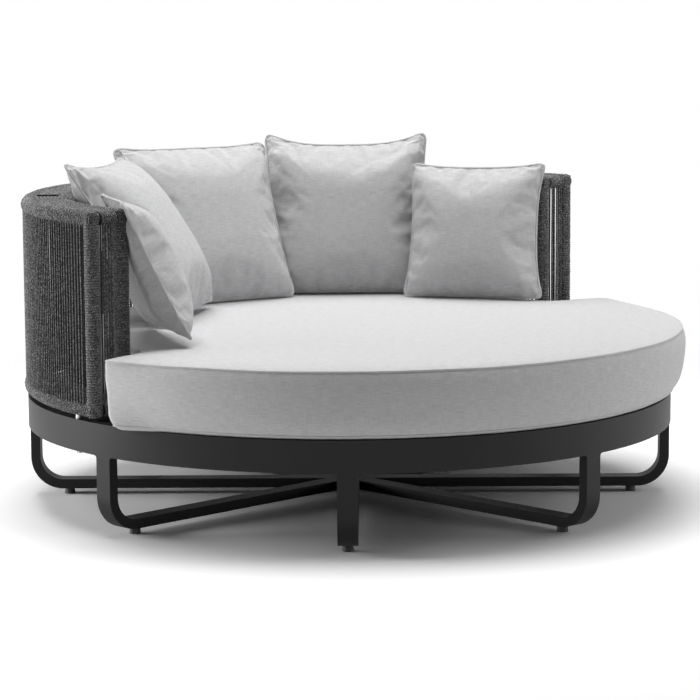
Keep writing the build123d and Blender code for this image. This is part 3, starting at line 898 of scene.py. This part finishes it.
def swell(obj, seam, seed):
    # The filled cover: its panels are a little larger than the form, and the seam holds them
    start = np.array([v.co for v in obj.data.vertices])
    for vertex, place in zip(obj.data.vertices, start):
        spot = Vector(place) * swell_noise_pitch + Vector((seed * swell_noise_seed_step, 0, 0))
        vertex.co.z += swell_noise_height * noise.noise(spot)
    group = obj.vertex_groups.new(name="seam")
    group.add(seam, 1.0, "REPLACE")
    cloth = obj.modifiers.new("fill", "CLOTH")
    for key, value in swell_settings.items():
        setattr(cloth.settings, key, value)
    cloth.settings.effector_weights.gravity = 0
    cloth.collision_settings.use_collision = False
    for step in range(swell_frames):
        bpy.context.scene.frame_set(step + 1)
    graph = bpy.context.evaluated_depsgraph_get()
    found = np.zeros(len(start) * 3)
    obj.evaluated_get(graph).data.vertices.foreach_get("co", found)
    obj.modifiers.clear()
    bpy.context.scene.frame_set(1)
    moved = found.reshape(-1, 3) - start
    length = np.linalg.norm(moved, axis=1)
    held = np.tanh(length / swell_limit) * swell_limit
    return start + moved * (held / np.maximum(length, np.finfo(float).eps))[:, None]


def puckers(verts, side, panel, seed):
    # Small gathers across the seam, that die out into the panel
    half = side / 2
    share = np.abs(verts[:, :2]) / half
    away = half * np.clip(1 - share.max(1), 0, 1)
    along = np.where(share[:, 0] > share[:, 1], verts[:, 1], verts[:, 0])
    fade = np.exp(-(away / pucker_reach) ** 2) * (1 - np.exp(-(away / pucker_start) ** 2))
    gathers = []
    for run, out, face in zip(along, away, panel):
        spot = Vector((run / pucker_pitch, out * pucker_out_pitch, seed * pucker_seed_step + face))
        gathers.append(noise.noise(spot))
    shifted = verts.copy()
    shifted[:, 2] += panel * pucker_height * fade * np.array(gathers)
    return shifted


def turned(degrees, axis):
    return Matrix.Rotation(math.radians(degrees), 4, axis)


def cushion_matrix(place):
    round_share, wall_share, rise_share, turn, lean, roll, size = place
    side = size[0]
    angle = 90 + round_share * math.degrees(large_cushion[0] / wall_inner_radius)
    radius = wall_inner_radius - wall_share * side
    middle = Vector(radius * flat_direction(angle) + raised(seat_top + rise_share * side))
    # Local X runs across the cushion, Y up it and Z out of its front
    upright = turned(90, "Z") @ turned(90, "X")
    stand = turned(angle + 180 + turn, "Z") @ turned(-lean, "Y")
    return Matrix.Translation(middle) @ stand @ turned(roll, "X") @ upright


def give_way(verts, matrix, room):
    # The filling gives way where the wound wall or the seat would reach into the cover
    turn = np.array(matrix.to_3x3())
    shift = np.array(matrix.to_translation())
    points = verts @ turn.T + shift
    radius = np.hypot(points[:, 0], points[:, 1])
    angle = (np.degrees(np.arctan2(points[:, 1], points[:, 0])) + 90) % 360 - 90
    height = points[:, 2]
    wound = wound_rail_radius + room
    limit = np.full(len(points), np.inf)

    def keep_inside(where, offset, reach):
        depth = np.sqrt(np.clip(reach ** 2 - offset ** 2, 0, None))
        found = np.where(where & (np.abs(offset) < reach), inner_rail_line - depth, np.inf)
        np.minimum(limit, found, out=limit)

    in_wall = (angle > wall_ends[0]) & (angle < wall_ends[1])
    keep_inside(in_wall & (height < top_rail_height), np.zeros(len(points)), wound)
    overhang = math.degrees(winding_overhang / inner_rail_line)
    by_rail = (angle > wall_ends[0] - overhang) & (angle < wall_ends[1] + overhang)
    keep_inside(by_rail, height - top_rail_height, wound)
    for end in wall_ends:
        beside = inner_rail_line * np.radians(angle - end)
        keep_inside(height < top_rail_height + wound, beside, wound_post_radius + room)
    points[:, :2] *= np.minimum(1, limit / radius)[:, None]
    points[:, 2] = np.maximum(height, seat_top + room)
    return (points - shift) @ turn


def cushion(name, place, material, seed):
    size = place[-1]
    divisions = round(size[0] / cushion_point_pitch)
    verts, faces, seam = cushion_grid(*cushion_panels(size, divisions, *cushion_shapes[name]))
    corners = np.array(faces).ravel()
    obj = new_object(name + "_cover", verts, faces, verts[corners, :2] + seed)
    panel = np.where(np.arange(len(verts)) < (divisions + 1) ** 2, 1, -1)
    verts = puckers(swell(obj, seam, seed), size[0], panel, seed)
    matrix = cushion_matrix(place)
    verts = give_way(verts, matrix, cover_room)
    obj.data.vertices.foreach_set("co", verts.ravel())
    obj.data.update()
    smooth = obj.modifiers.new("smooth", "SUBSURF")
    smooth.levels = 1
    smooth.render_levels = 1
    obj.matrix_world = matrix
    obj.data.materials.append(material)
    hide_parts(name)
    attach(obj, name)
    line = give_way(verts[seam], matrix, cover_room + cushion_piping_radius)
    piping = closed_tube(name + "_piping", line, line * np.array([1, 1, 0]), cushion_piping_radius)
    piping.data.materials.append(material)
    piping.matrix_world = matrix
    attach(piping, name)


# Stage: floor, lights and camera

def seen_by_eye(tree):
    # 1 for the rays that show the background: to the camera, mirrored and through glass
    paths = node(tree, "ShaderNodeLightPath").outputs
    mirrored = math_node(tree, "MAXIMUM", paths["Is Camera Ray"], paths["Is Glossy Ray"])
    return math_node(tree, "MAXIMUM", mirrored, paths["Is Transmission Ray"])


def mix_shaders(tree, share, first, second):
    return node(tree, "ShaderNodeMixShader", {0: share, 1: first, 2: second}).outputs[0]


def floor_material():
    material = bpy.data.materials.new("floor")
    material.use_nodes = True
    tree = material.node_tree
    tree.nodes.clear()
    away = node(tree, "ShaderNodeVectorMath", {0: object_place(tree)}, operation="LENGTH").outputs["Value"]
    fade_inputs = {"Value": away, "From Min": floor_fade_start, "From Max": floor_fade_end}
    fade = node(tree, "ShaderNodeMapRange", fade_inputs, interpolation_type="SMOOTHSTEP").outputs["Result"]
    plain = node(tree, "ShaderNodeBsdfDiffuse", {"Color": grey(floor_level)}).outputs[0]
    pale = node(tree, "ShaderNodeBsdfDiffuse", {"Color": grey(floor_seen_level)}).outputs[0]
    white = node(tree, "ShaderNodeEmission", {"Color": grey(1.0), "Strength": 1.0}).outputs[0]
    shown = mix_shaders(tree, seen_by_eye(tree), plain, mix_shaders(tree, fade, pale, white))
    node(tree, "ShaderNodeOutputMaterial", {"Surface": shown})
    return material


def floor():
    corners = [(-floor_reach, -floor_reach, 0), (floor_reach, -floor_reach, 0),
               (floor_reach, floor_reach, 0), (-floor_reach, floor_reach, 0)]
    made = new_object("floor", corners, [[0, 1, 2, 3]], None, False)
    made.data.materials.append(floor_material())


def area_light(name, power, width, height, place):
    data = bpy.data.lights.new(name, "AREA")
    data.energy = power
    data.shape = "RECTANGLE"
    data.size = width
    data.size_y = height
    made = bpy.data.objects.new(name, data)
    made.location = place
    made.rotation_mode = "QUATERNION"
    made.rotation_quaternion = (Vector(lamp_target) - Vector(place)).to_track_quat("-Z", "Y")
    bpy.context.scene.collection.objects.link(made)


def world():
    made = bpy.data.worlds.new("world")
    bpy.context.scene.world = made
    made.use_nodes = True
    tree = made.node_tree
    light = tree.nodes["Background"]
    light.inputs["Color"].default_value = grey(1.0)
    light.inputs["Strength"].default_value = world_strength
    white = node(tree, "ShaderNodeBackground", {"Color": grey(1.0), "Strength": 1.0})
    shown = mix_shaders(tree, seen_by_eye(tree), light.outputs[0], white.outputs[0])
    tree.links.new(shown, tree.nodes["World Output"].inputs["Surface"])


def camera():
    data = bpy.data.cameras.new("camera")
    data.lens = camera_lens
    data.sensor_width = camera_sensor
    data.clip_end = camera_far
    made = bpy.data.objects.new("camera", data)
    look = (Vector(camera_target) - Vector(camera_place)).to_track_quat("-Z", "Y")
    roll = Matrix.Rotation(math.radians(camera_roll_degrees), 3, "Z").to_quaternion()
    made.rotation_mode = "QUATERNION"
    made.rotation_quaternion = look @ roll
    made.location = camera_place
    bpy.context.scene.collection.objects.link(made)
    bpy.context.scene.camera = made


camera()
paint = paint_material()
rope = rope_material()
seat_fabric = fabric_material("seat_fabric", seat_fabric_level)
cushion_fabric = fabric_material("cushion_fabric", cushion_fabric_level)
steel = steel_material()
plastic = foot_material()
slot_materials = {"frame_paint": paint, "rope": rope, "steel": steel, "foot_plastic": plastic,
                  "seat_fabric": seat_fabric, "cushion_fabric": cushion_fabric}
for part in frame["record"]["subparts"]:
    shown = frame["nodes"][part["node"]]
    shown.data.materials.clear()
    shown.data.materials.append(slot_materials[part["material_slot"]])
make_rope(rope)
mattress(seat_fabric)
for seed, (name, place) in enumerate(cushion_places.items(), first_cushion_seed):
    cushion(name, place, cushion_fabric, seed)
floor()
world()
for name, lamp in lamps.items():
    area_light(name, *lamp)
bpy.context.scene.view_settings.view_transform = "Standard"
bpy.context.view_layer.update()
